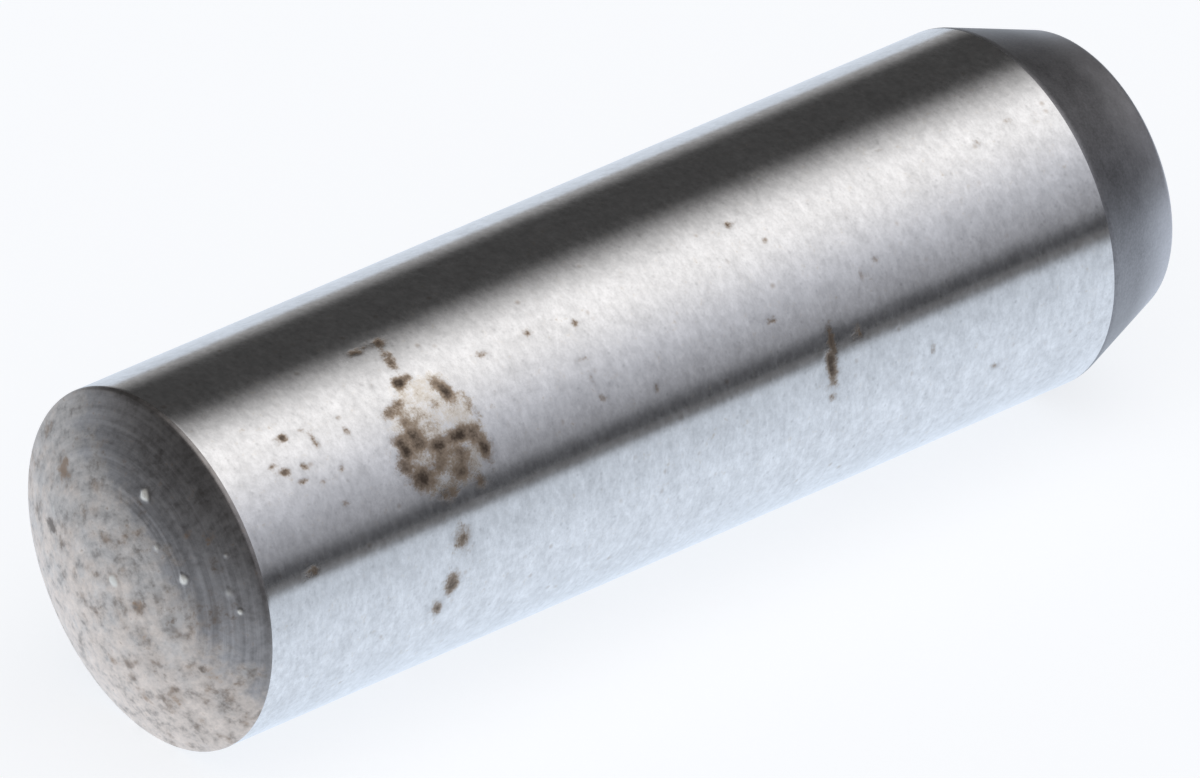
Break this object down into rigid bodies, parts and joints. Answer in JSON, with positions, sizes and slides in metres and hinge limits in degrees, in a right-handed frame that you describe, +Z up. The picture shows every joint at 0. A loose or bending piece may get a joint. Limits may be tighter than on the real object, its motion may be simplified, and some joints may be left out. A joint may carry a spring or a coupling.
{
  "type": "dowel pin",
  "caption": "Steel dowel pin with a ground cylindrical shank, a turned domed head and a tapered lead end with a shallow domed tip.",
  "frame": {"origin": "on the pin's axis, halfway along the ground shank", "axes": "+X along the pin's axis, from the domed head to the tapered lead; +Z up, square to the axis; +Y completes a right-handed frame"},
  "size_m": [0.02, 0.006, 0.006],
  "materials": {
    "pin_steel": "satin"
  },
  "bodies": {
    "root": {"dowel_pin": "pin_steel"}
  },
  "joints": []
}
